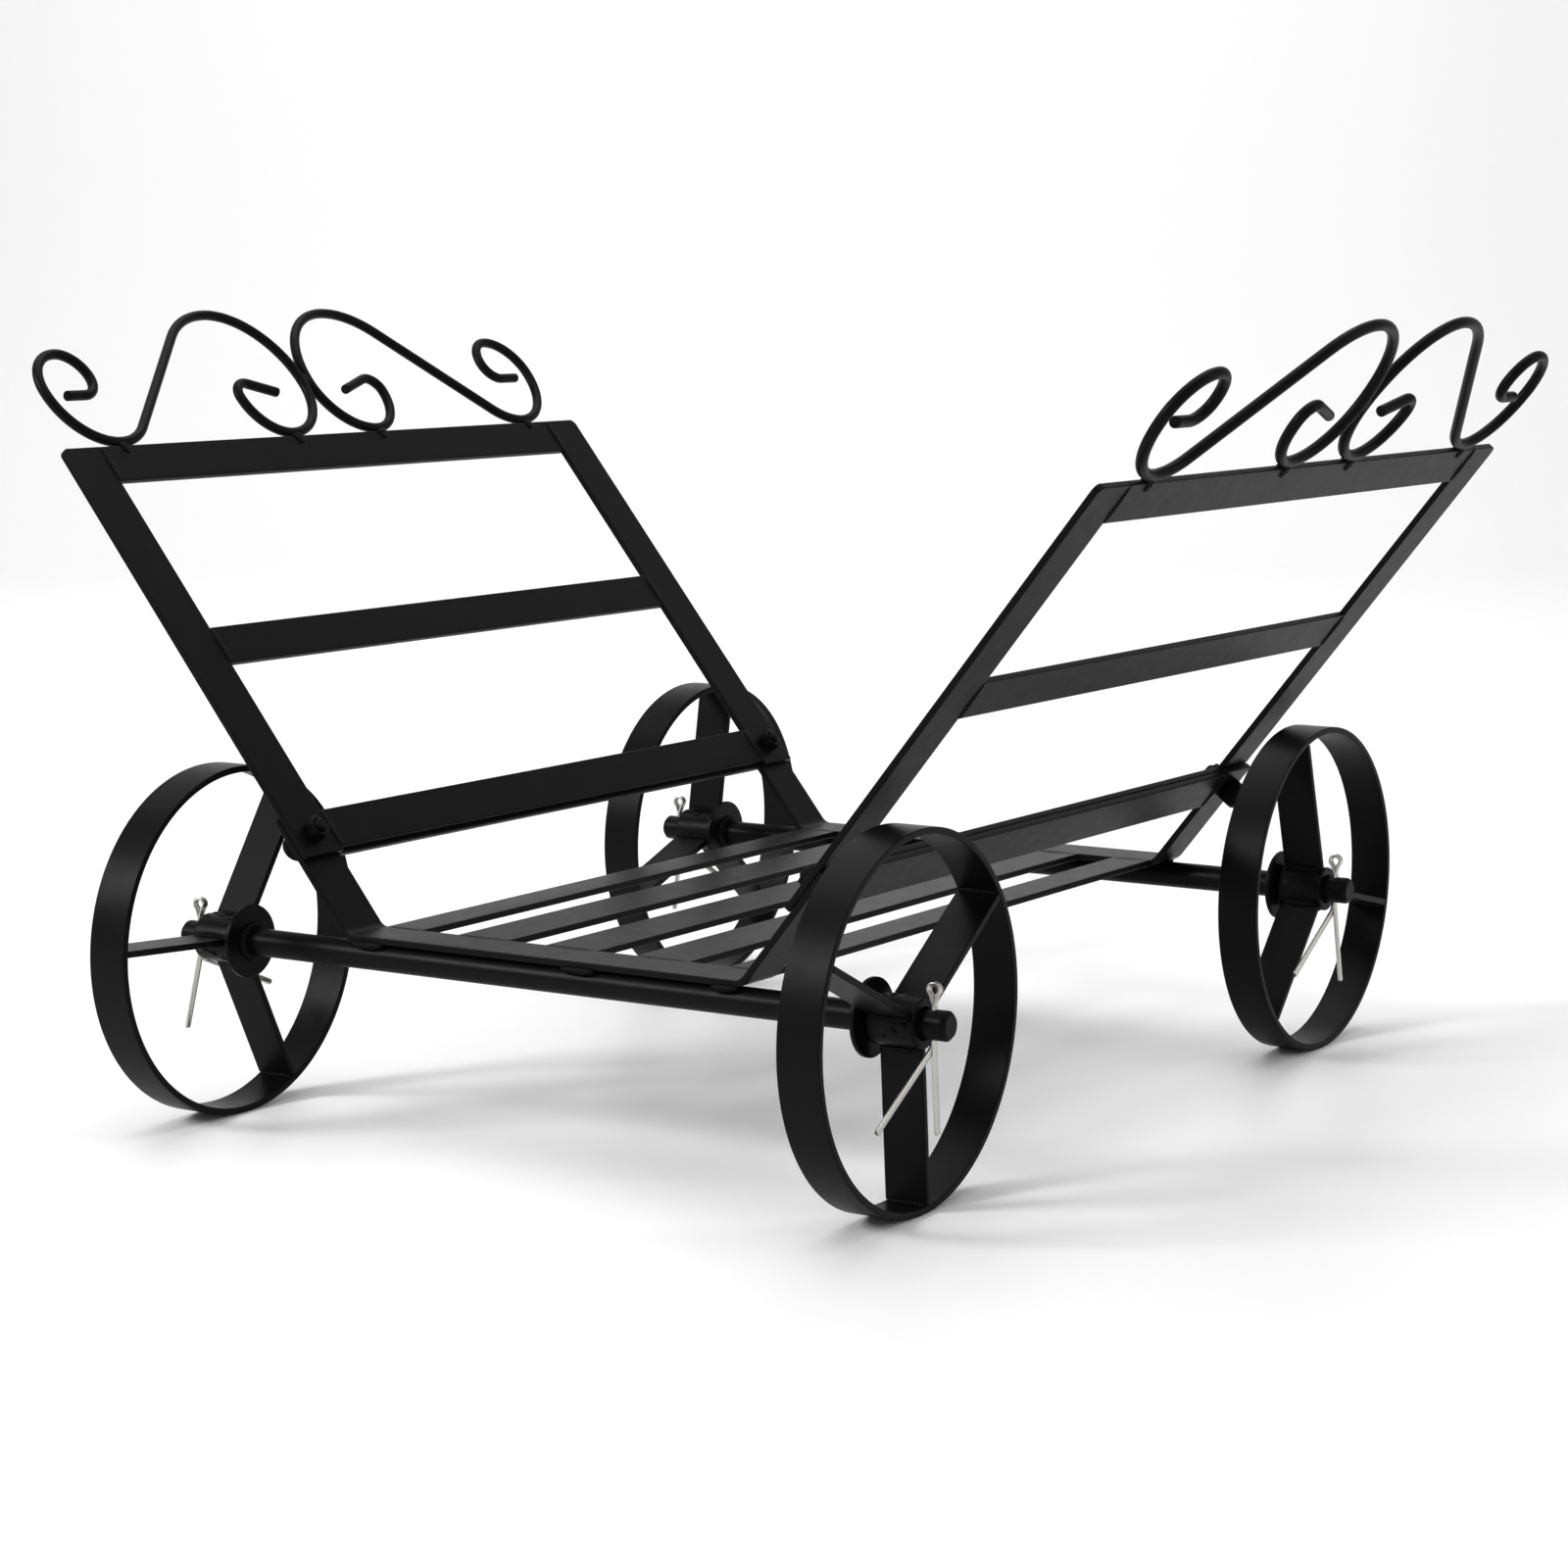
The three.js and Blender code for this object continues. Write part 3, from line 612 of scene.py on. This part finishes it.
class LOGRACK_OT_split_pins(bpy.types.Operator):
    """Four split pins of half-round wire, one leg splayed and the other bent aside below the axle"""
    bl_idname = "lograck.split_pins"
    bl_label = "Split Pins"

    def execute(self, context):
        for corner, _, sign in CORNERS:
            low, high = box(f"axle_{corner.split('_')[0]}")
            centre, axle = (low + high) / 2, (high[2] - low[2]) / 2
            pin_low, pin_high = box(f"split_pin_{corner}")
            inboard = pin_low[0] if sign > 0 else pin_high[0]
            path = self.centre_line(axle, np.radians(PIN_SPLAY[corner]), np.radians(PIN_BEND[corner]))
            wire = 1.62 * MM
            t = np.linspace(0, np.pi, 13)
            arc = wire * np.stack([np.cos(t), np.sin(t)], axis=1)
            flat = np.stack([np.linspace(-wire, wire, 5)[1:-1], np.zeros(3)], axis=1)
            section = np.concatenate([arc, flat])
            pin = Shells()
            ahead = tangents(path)
            side = self.sides(path)
            taper = np.ones(len(path))
            taper[[0, -1]] = 0.82
            other = np.cross(side, ahead)
            grid = (path[:, None, :] + (section[:, 0][None, :] * taper[:, None])[..., None] * side[:, None, :]
                    + (section[:, 1][None, :] * taper[:, None])[..., None] * other[:, None, :])
            turn = np.diag([sign, sign, 1])
            eye_reach = 4.8 * MM
            place = np.array([inboard + sign * eye_reach, centre[1], centre[2]])
            pin.add(grid @ turn + place)
            pin.build(f"split_pin.{corner}", "bright zinc plate", "chassis", [f"split_pin_{corner}"])
        return {"FINISHED"}

    def centre_line(self, axle, splay, bend):
        """Up the splayed outboard leg, round the eye and down the inboard leg, which bends towards -Y."""
        gap = 0.18 * MM
        leg, bent, bend_radius = 39 * MM, 54 * MM, 5 * MM
        tip = np.array([gap + leg * np.sin(splay), 0, -axle - leg * np.cos(splay)])
        top = np.array([gap, 0, -axle])
        lower = [tip + (top - tip) * s for s in (0, 0.02, 0.3, 0.6, 0.9)]
        upper = [np.array([gap, 0, z]) for z in (-axle + 0.6 * MM, 0, axle, axle + 1 * MM)]
        eye, opening = 3.1 * MM, np.radians(40)
        eye_height = axle + 5 * MM + 3.15 * MM
        angle = -np.pi / 2 + opening + np.linspace(0, 2 * np.pi - 2 * opening, 32)
        loop = [np.array([eye * np.cos(a), 0, eye_height + eye * np.sin(a)]) for a in angle]
        down = [np.array([-gap, 0, z]) for z in (axle + 1 * MM, axle, 0, -axle)]
        start = -axle - 0.5 * MM
        turn = np.linspace(0, bend, 10)
        curve = [np.array([-gap, -bend_radius * (1 - np.cos(a)), start - bend_radius * np.sin(a)])
                 for a in turn]
        ahead = np.array([0, -np.sin(bend), -np.cos(bend)])
        rest = bent - bend_radius * bend
        tail = [curve[-1] + ahead * rest * s for s in (0.25, 0.5, 0.75, 0.98, 1.0)]
        return np.array(lower + upper + loop + down + curve + tail)

    def sides(self, path):
        """The direction along the wire's flat: level with Y on the eye, turning with the bent leg."""
        ahead = tangents(path)
        outward = np.cross(ahead, Y)
        bent = np.abs(ahead[:, 1]) > 1e-6
        outward[bent] = -X
        outward = unit(outward)
        return np.cross(ahead, outward)


class LOGRACK_OT_cradle(bpy.types.Operator):
    """Two cradle bars bent up at both ends, five slats between them and the welds that join them"""
    bl_idname = "lograck.cradle"
    bl_label = "Cradle"

    def execute(self, context):
        edge, bead, ripple = sizes().edge, sizes().bead, sizes().ripple
        welds = Shells()
        top = box("slat_1")[1][2]
        panel = Panel("right")
        for end, end_sign in ENDS.items():
            low, high = box(f"cradle_bar_{end}")
            y, width = (low[1] + high[1]) / 2, high[1] - low[1]
            bar = Shells()
            path = self.bent_line(panel, top, low, high)
            stations, drawn = self.fit_ends(path, edge)
            wide, thick = rounded_rectangle(width / 2 - drawn, BAR / 2 - drawn, corner_left(edge, drawn))
            ahead = tangents(stations)
            face = np.cross(ahead, Y) * miter(stations)[:, None]
            grid = (stations[:, None, :] + y * Y + wide[..., None] * Y + thick[..., None] * face[:, None, :])
            bar.add(grid)
            bar.build(f"cradle_bar.{end}", "satin black powder coat", "chassis", [f"cradle_bar_{end}"])
            outer = y + end_sign * width / 2
            for k, (x0, x1) in enumerate(AXLE_WELDS):
                seat = np.array([0, outer - end_sign * 0.2 * MM, low[2]])
                weld_bead(welds, seat + x0 * MM * X, seat + x1 * MM * X, end_sign * Y, -Z, bead * 1.15,
                          ripple, seed=k + 7 * end_sign + 20)
        slats = Shells()
        names = ["slat_1", "slat_2", "slat_3", "edge_slat_left", "edge_slat_right"]
        for k, name in enumerate(names):
            low, high = box(name)
            x, width = (low[0] + high[0]) / 2, high[0] - low[0]
            z = (low[2] + high[2]) / 2
            straight_bar(slats, (x, low[1], z), (x, high[1], z), X, width, edge)
            for j, (seam_y, sign) in enumerate([(low[1], 1), (high[1], -1)]):
                half = width / 2 - 0.5 * MM
                for face, z_face in ((Z, high[2]), (-Z, low[2])):
                    height = 0.5 * MM if face[2] > 0 else 1.3 * MM
                    seam_weld(welds, (x - half, seam_y - sign * 0.15 * MM, z_face),
                              (x + half, seam_y - sign * 0.15 * MM, z_face), face, 4.2 * MM, height, ripple,
                              seed=10 * k + j)
        slats.build("slats", "satin black powder coat", "chassis", names)
        welds.build("cradle_welds", "powder coated weld metal", "chassis")
        return {"FINISHED"}

    def bent_line(self, panel, top, low, high):
        """The bar's middle line in the XZ plane: flat, then an arc of the bend's middle radius, then up the
        slope, mirrored left to right."""
        mid = CRADLE_BEND_RADIUS + BAR / 2
        turn = np.pi / 2 - LEAN
        depth = BAR + WELD_GAP
        rise = (top - (panel.foot + depth * panel.out)[2]) / np.cos(LEAN)
        corner = panel.foot + depth * panel.out + rise * panel.up
        bend_x = corner[0] - CRADLE_BEND_RADIUS * np.tan(turn / 2)
        a = np.linspace(0, turn, 14)
        arc = np.stack([bend_x + mid * np.sin(a), 0 * a, top + CRADLE_BEND_RADIUS - mid * np.cos(a)], axis=1)
        tip_height = (high[2] - top) / np.cos(LEAN)
        tip = corner + tip_height * panel.up + BAR / 2 * panel.out
        half = np.concatenate([arc, [tip]])
        return np.concatenate([half[::-1] * [-1, 1, 1], half])

    def fit_ends(self, path, edge):
        """Adds the softened end stations to a bent line."""
        lengths = np.linalg.norm(np.diff(path, axis=0), axis=1)
        first, last = unit(path[1] - path[0]), unit(path[-1] - path[-2])
        stations, drawn = softened_ends(min(lengths[0], lengths[-1]), edge)
        count = len(stations) // 2
        head = path[0] + stations[:count, None] * first
        tail = path[-1] - stations[:count][::-1, None] * last
        points = np.concatenate([head, path[1:-1], tail])
        drawn = np.concatenate([drawn[:count], np.zeros(len(path) - 2), drawn[:count][::-1]])
        return points, drawn


class LOGRACK_OT_panels(bpy.types.Operator):
    """Two leaning side panels of posts and rails, and the cradle's side rails behind them"""
    bl_idname = "lograck.panels"
    bl_label = "Side Panels"

    def execute(self, context):
        edge, ripple = sizes().edge, sizes().ripple
        for side in SIDES:
            panel = Panel(side)
            welds = Shells()
            for end, end_sign in ENDS.items():
                low, high = box(f"post_{end}_{side}")
                y, width = (low[1] + high[1]) / 2, high[1] - low[1]
                post = Shells()
                self.post(post, panel, y, width, end_sign, edge)
                post.build(f"post.{end}_{side}", "satin black powder coat", "chassis", [f"post_{end}_{side}"])
            rails = Shells()
            names = [f"{kind}_rail_{side}" for kind in ("top", "middle", "foot", "cradle")]
            for k, name in enumerate(names):
                low, high = box(name)
                of_cradle = name.startswith("cradle")
                inside = BAR + WELD_GAP if of_cradle else 0
                width = CRADLE_RAIL_WIDTH if of_cradle else RAIL_WIDTH
                mid_height = ((low + high) / 2 - panel.foot) @ panel.up
                depth = inside + BAR / 2
                straight_bar(rails, panel.at(low[1], mid_height, depth), panel.at(high[1], mid_height, depth),
                             panel.up, width, edge)
                half = width / 2 - 0.4 * MM
                for j, y in enumerate((low[1] - 0.15 * MM, high[1] + 0.15 * MM)):
                    for face, d in ((panel.out, inside + BAR), (-panel.out, inside)):
                        seam_weld(welds, panel.at(y, mid_height - half, d),
                                  panel.at(y, mid_height + half, d), face,
                                  3.4 * MM, 1.1 * MM, ripple, seed=100 * k + j)
            rails.build(f"rails.{side}", "satin black powder coat", "chassis", names)
            welds.build(f"panel_welds.{side}", "powder coated weld metal", "chassis")
        return {"FINISHED"}

    def post(self, shells, panel, y, width, end_sign, edge):
        """A flat bar up the slope whose outer top corner is an arc: near the top its outer edge is drawn in
        by r - sqrt(r^2 - (r - s)^2), where s is the distance down from the top."""
        stations, drawn = softened_ends(POST_LENGTH, edge)
        r = POST_CORNER_RADIUS
        extra = POST_LENGTH - r * (1 - np.sin(np.linspace(0.12, np.pi / 2, 9)))
        order = np.argsort(np.concatenate([stations, extra]), kind="stable")
        drawn = np.concatenate([drawn, np.interp(extra, stations, drawn)])[order]
        stations = np.concatenate([stations, extra])[order]
        keep = np.concatenate([[True], np.diff(stations) > 1e-6])
        stations, drawn = stations[keep], drawn[keep]
        s = np.clip(POST_LENGTH - stations, 0, r)
        inset = r - np.sqrt(np.maximum(r ** 2 - (r - s) ** 2, 0))
        half = (width - inset) / 2 - drawn
        shift = -end_sign * inset / 2
        wide, thick = rounded_rectangle(half, BAR / 2 - drawn, corner_left(edge, drawn))
        centre = panel.foot + stations[:, None] * panel.up + BAR / 2 * panel.out + (y + shift)[:, None] * Y
        shells.add(centre[:, None, :] + wide[..., None] * Y + thick[..., None] * panel.out)


class LOGRACK_OT_scrolls(bpy.types.Operator):
    """Two mirrored scrolls of round rod on each top rail, with the welds that hold them"""
    bl_idname = "lograck.scrolls"
    bl_label = "Scrollwork"

    def execute(self, context):
        radius = sizes().rod / 2
        ripple = sizes().ripple
        line = bend_path(SCROLL_BENDS)
        reach, lowest = line[:, 0].max(), line[:, 1].min()
        for side in SIDES:
            panel = Panel(side)
            welds = Shells()
            for end, end_sign in ENDS.items():
                y = end_sign * (reach - line[:, 0] + radius + WELD_GAP / 2)
                height = POST_LENGTH + WELD_GAP + radius + line[:, 1] - lowest
                path = panel.foot + height[:, None] * panel.up + BAR / 2 * panel.out + y[:, None] * Y
                path, taper = self.blunt(path, radius)
                rod = Shells()
                swept(rod, path, circle(radius), panel.out, taper)
                rod.build(f"scroll.{end}_{side}", "satin black powder coat", "chassis",
                          [f"scroll_{end}_{side}"])
                self.feet(welds, panel, line, end_sign, reach, lowest, radius, ripple)
            self.meeting(welds, panel, line, reach, lowest, radius)
            welds.build(f"scroll_welds.{side}", "powder coated weld metal", "chassis")
        return {"FINISHED"}

    def blunt(self, path, radius):
        """Adds a small rounding at both cut ends."""
        soft = 0.4 * MM
        a = np.linspace(0, np.pi / 2, 4)
        first, last = unit(path[1] - path[0]), unit(path[-1] - path[-2])
        inset = soft * (1 - np.cos(a))
        head = path[0] + inset[:, None] * first
        tail = path[-1] - inset[::-1, None] * last
        taper = 1 - soft * (1 - np.sin(a)) / radius
        body = path[1:-1]
        return np.concatenate([head, body, tail]), np.concatenate([taper, np.ones(len(body)), taper[::-1]])

    def feet(self, welds, panel, line, end_sign, reach, lowest, radius, ripple):
        """Lumps of weld where the rod touches the rail, under its two low points."""
        split = len(line) // 2
        for k, part in enumerate((line[:split], line[split:])):
            x = part[np.argmin(part[:, 1]), 0]
            drop = part[:, 1].min() - lowest
            y = end_sign * (reach - x + radius + WELD_GAP / 2)
            at = panel.at(y, POST_LENGTH + 0.6 * MM + drop / 2, BAR / 2)
            blob(welds, at, np.array([4.2 * MM, 2.3 * MM, 1.7 * MM + drop / 2]), [Y, panel.out, panel.up],
                 seed=k + 3 * end_sign + 9)
            for face, depth in ((-panel.out, 0), (panel.out, BAR)):
                start = panel.at(y, POST_LENGTH + 1.5 * MM, depth)
                stop = panel.at(y, POST_LENGTH - 4.5 * MM, depth)
                seam_weld(welds, start, stop, face, 6.5 * MM, 1.5 * MM, ripple, seed=k)

    def meeting(self, welds, panel, line, reach, lowest, radius):
        """A lump where the two scrolls touch at the middle of the rail."""
        height = POST_LENGTH + WELD_GAP + radius + line[np.argmax(line[:, 0]), 1] - lowest
        blob(welds, panel.at(0, height, BAR / 2), np.array([2.0 * MM, 2.4 * MM, 4.8 * MM]),
             [Y, panel.out, panel.up], seed=5)


class LOGRACK_OT_bolts(bpy.types.Operator):
    """Four bolts with tall round heads outside and hexagon nuts inside, that hold the panels to the cradle"""
    bl_idname = "lograck.bolts"
    bl_label = "Corner Bolts"

    def execute(self, context):
        for corner, _, _ in CORNERS:
            panel = Panel(corner.split("_")[1])
            low, high = box(f"bolt_{corner}")
            origin = panel.at((low[1] + high[1]) / 2, BOLT_ABOVE_POST_FOOT, 0)
            axes = np.array([panel.out, Y * panel.sign, panel.up])
            bolt = Shells()
            self.turned_on(bolt, self.bolt_profile(), origin, axes)
            self.nut(bolt, origin, axes)
            bolt.build(f"bolt.{corner}", "satin black powder coat", "chassis", [f"bolt_{corner}"])
        return {"FINISHED"}

    def bolt_profile(self):
        """(radius, depth outward) from the shank's end to the middle of the head's end. The thread drops by
        0.14 mm in every other pair of quarter-millimetre steps; the head's rim is an arc e (1 - cos a), e
        (1 - sin a) in from its side and its end, and the end is crowned by 0.4 mm."""
        seat, head, height, shank = 2 * BAR + 2 * WELD_GAP, 6.4 * MM, 10.5 * MM, 3 * MM
        end, rounding, crown = -WELD_GAP - 7 * MM, 3 * MM, 0.4 * MM
        top = seat + height
        a = np.linspace(0, np.pi / 2, 12)
        rim = [(head - rounding * (1 - np.cos(b)), top - crown - rounding * (1 - np.sin(b))) for b in a]
        flat = head - rounding
        cap = [(flat * k, top - crown * k ** 2) for k in (0.75, 0.5, 0.25, 0.02)]
        turns = np.arange(end + 0.8 * MM, -WELD_GAP - 5.2 * MM, 0.25 * MM)
        thread = [(shank - 0.14 * MM * (k % 4 in (1, 2)), d) for k, d in enumerate(turns)]
        return ([(shank - 0.6 * MM, end), (shank - 0.25 * MM, end + 0.4 * MM)] + thread
                + [(shank, -WELD_GAP), (shank, seat), (head - 0.3 * MM, seat), (head, seat + 0.3 * MM)]
                + rim + cap)

    def turned_on(self, shells, profile, origin, axes, segments=48):
        angle = np.linspace(0, 2 * np.pi, segments, endpoint=False)
        grid = np.stack([np.array([[d] * segments, r * np.cos(angle), r * np.sin(angle)]).T
                         for r, d in profile])
        shells.add(grid @ axes + origin)

    def nut(self, shells, origin, axes):
        """A hexagon whose corners are chamfered: radius min(a / cos(phi), 0.985 a + 1.7 d), where phi is
        the angle from the nearest flat's middle, a half the width across flats and d the distance from the
        nearer face."""
        across, thick, inside = 10 * MM, 5 * MM, 3.05 * MM
        angle = np.linspace(0, 2 * np.pi, 96, endpoint=False)
        phi = (angle + np.pi / 6) % (np.pi / 3) - np.pi / 6
        hexagon = across / 2 / np.cos(phi)
        rows = []
        for d in np.array([0, 0.15, 0.35, 0.6, 1.0, 2.5, 4.0, 4.4, 4.65, 4.85, 5.0]) * MM:
            rows.append((d, np.minimum(hexagon, across / 2 * 0.985 + 1.7 * min(d, thick - d))))
        rows += [(d, np.full_like(angle, inside)) for d in (thick, thick / 2, 0)]
        grid = np.stack([
            np.array([np.full_like(angle, -WELD_GAP - d), r * np.cos(angle), r * np.sin(angle)]).T
            for d, r in rows
        ])
        shells.add(grid @ axes + origin, around="both")


class LOGRACK_OT_stage(bpy.types.Operator):
    """Pale floor, soft lights and the camera"""
    bl_idname = "lograck.stage"
    bl_label = "Stage"

    def execute(self, context):
        scene = context.scene
        self.floor(scene)
        power = scene.lograck_looks.key_power
        self.light(scene, "overhead", (-0.3, 0.3, 2.3), (0, 0, 0.1), 2.4, power)
        self.light(scene, "front_left", (-1.5, -1.9, 1.5), (0, 0, 0.15), 0.7, power * 1.3)
        self.light(scene, "right_rim", (2.4, 0.9, 1.0), (0, 0, 0.15), 1.0, power * 0.25)
        self.light(scene, "backdrop", (-1.2, 1.8, 2.6), (-2.4, 3.8, 1.2), 2.0, power * 1.2)
        world = bpy.data.worlds.new("studio white")
        world.use_nodes = True
        background = world.node_tree.nodes["Background"]
        background.inputs["Color"].default_value = linear("#ffffff")
        background.inputs["Strength"].default_value = 0.45
        scene.world = world
        scene.view_settings.view_transform = "Standard"
        self.camera(scene)
        return {"FINISHED"}

    def floor(self, scene):
        """A flat floor that curves up into a wall far behind: height = R (1 - cos a) at run + R sin a."""
        reach, radius = 3.0, 1.5
        a = np.linspace(0, np.pi / 2, 24)
        run = np.concatenate([[-2 * reach, -reach, 0], reach + radius * np.sin(a), [reach + radius]])
        rise = np.concatenate([[0, 0, 0], radius * (1 - np.cos(a)), [5.0]])
        away = np.array([-0.534, 0.845])
        side = np.array([0.845, 0.534])
        points, faces = [], []
        for r, z in zip(run, rise):
            for s in (-12.0, 12.0):
                points.append((*(r * away + s * side), z))
        for k in range(len(run) - 1):
            faces.append((2 * k, 2 * k + 1, 2 * k + 3, 2 * k + 2))
        mesh = bpy.data.meshes.new("floor")
        mesh.from_pydata(points, [], faces)
        mesh.polygons.foreach_set("use_smooth", [True] * len(faces))
        floor = bpy.data.objects.new("floor", mesh)
        floor.data.materials.append(finish_named("matt white floor"))
        scene.collection.objects.link(floor)

    def light(self, scene, name, place, target, size, power):
        lamp = bpy.data.lights.new(name, "AREA")
        lamp.energy, lamp.size = power, size
        item = bpy.data.objects.new(name, lamp)
        aim(item, place, target)
        scene.collection.objects.link(item)

    def camera(self, scene):
        lens = bpy.data.cameras.new("camera")
        lens.sensor_width = 36
        lens.lens = 86.0
        lens.clip_start, lens.clip_end = 0.05, 50
        item = bpy.data.objects.new("camera", lens)
        item.location = (0.9369, -1.4881, 0.3819)
        item.rotation_euler = (np.pi / 2 - 0.136, 0, 0.563)
        scene.collection.objects.link(item)
        scene.camera = item


def aim(item, place, target):
    """Puts an object at place with its -Z axis pointing at target."""
    item.location = place
    item.rotation_euler = (Vector(place) - Vector(target)).to_track_quat("Z", "Y").to_euler()


class LOGRACK_PT_panel(bpy.types.Panel):
    bl_label = "Log Rack"
    bl_space_type = "VIEW_3D"
    bl_region_type = "UI"
    bl_category = "Log Rack"

    def draw(self, context):
        column = self.layout.column()
        for group in (context.scene.lograck_sizes, context.scene.lograck_looks):
            for name in group.__annotations__:
                column.prop(group, name)
        for operator in OPERATORS:
            column.operator(operator.bl_idname)


OPERATORS = (
    LOGRACK_OT_wheels,
    LOGRACK_OT_axles,
    LOGRACK_OT_split_pins,
    LOGRACK_OT_cradle,
    LOGRACK_OT_panels,
    LOGRACK_OT_scrolls,
    LOGRACK_OT_bolts,
    LOGRACK_OT_stage,
)
CLASSES = (LOGRACK_PG_sizes, LOGRACK_PG_looks, *OPERATORS, LOGRACK_PT_panel)


def register():
    for cls in CLASSES:
        bpy.utils.register_class(cls)
    bpy.types.Scene.lograck_sizes = PointerProperty(type=LOGRACK_PG_sizes)
    bpy.types.Scene.lograck_looks = PointerProperty(type=LOGRACK_PG_looks)


def unregister():
    del bpy.types.Scene.lograck_looks
    del bpy.types.Scene.lograck_sizes
    for cls in reversed(CLASSES):
        bpy.utils.unregister_class(cls)


def main():
    register()
    for operator in OPERATORS:
        group, name = operator.bl_idname.split(".")
        getattr(getattr(bpy.ops, group), name)()


if __name__ == "__main__":
    main()
